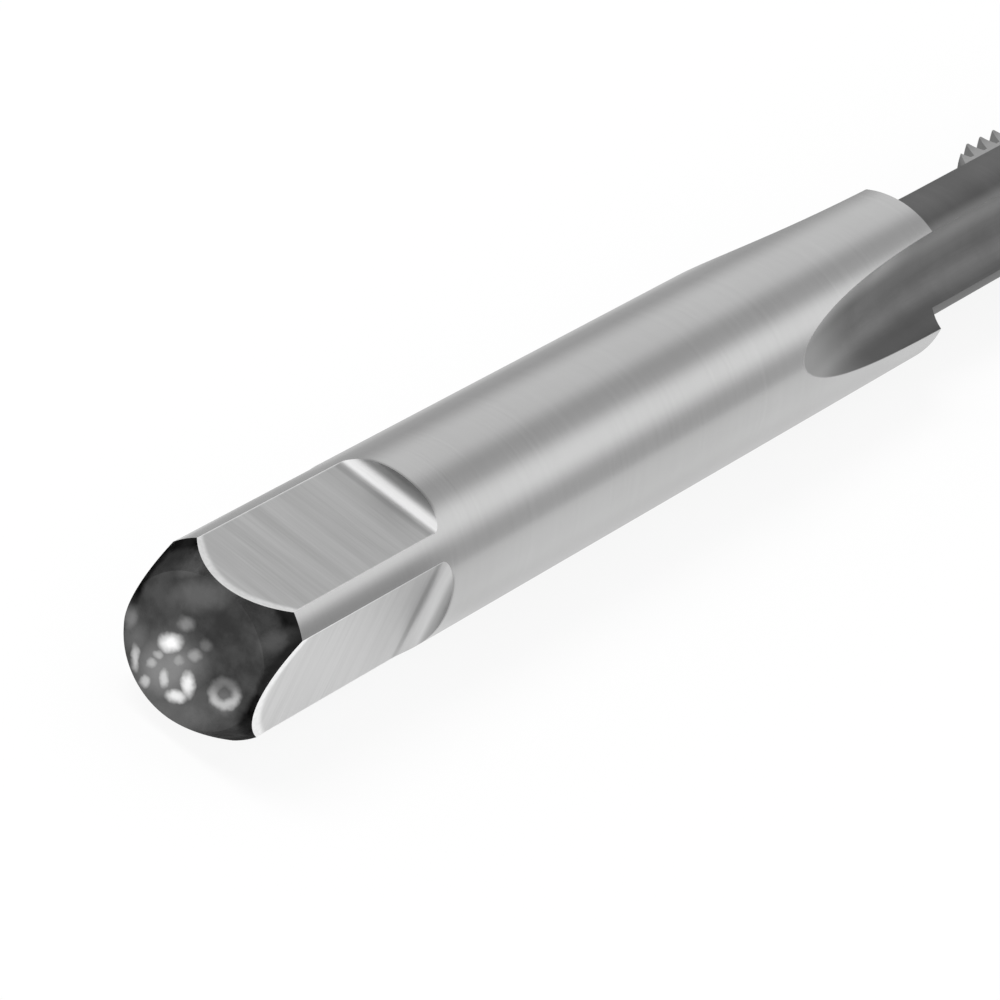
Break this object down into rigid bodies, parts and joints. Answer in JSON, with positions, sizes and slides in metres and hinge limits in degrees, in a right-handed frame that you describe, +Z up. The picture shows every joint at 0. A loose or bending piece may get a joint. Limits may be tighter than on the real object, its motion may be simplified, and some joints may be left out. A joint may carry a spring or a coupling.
{
  "type": "machine tap",
  "caption": "Straight-fluted machine tap with a square drive end, a round shank, a thinner neck and a short tapered lead, for cutting an internal thread.",
  "frame": {"origin": "centre of the drive end's face, on the tap's axis", "axes": "+X along the axis to the point, +Z up, square to one flat of the drive end"},
  "size_m": [0.058, 0.005, 0.005],
  "materials": {
    "tool_steel": "bright ground shank, dull dark flutes, neck and drive end"
  },
  "bodies": {
    "root": {"machine_tap": "tool_steel"}
  },
  "joints": []
}
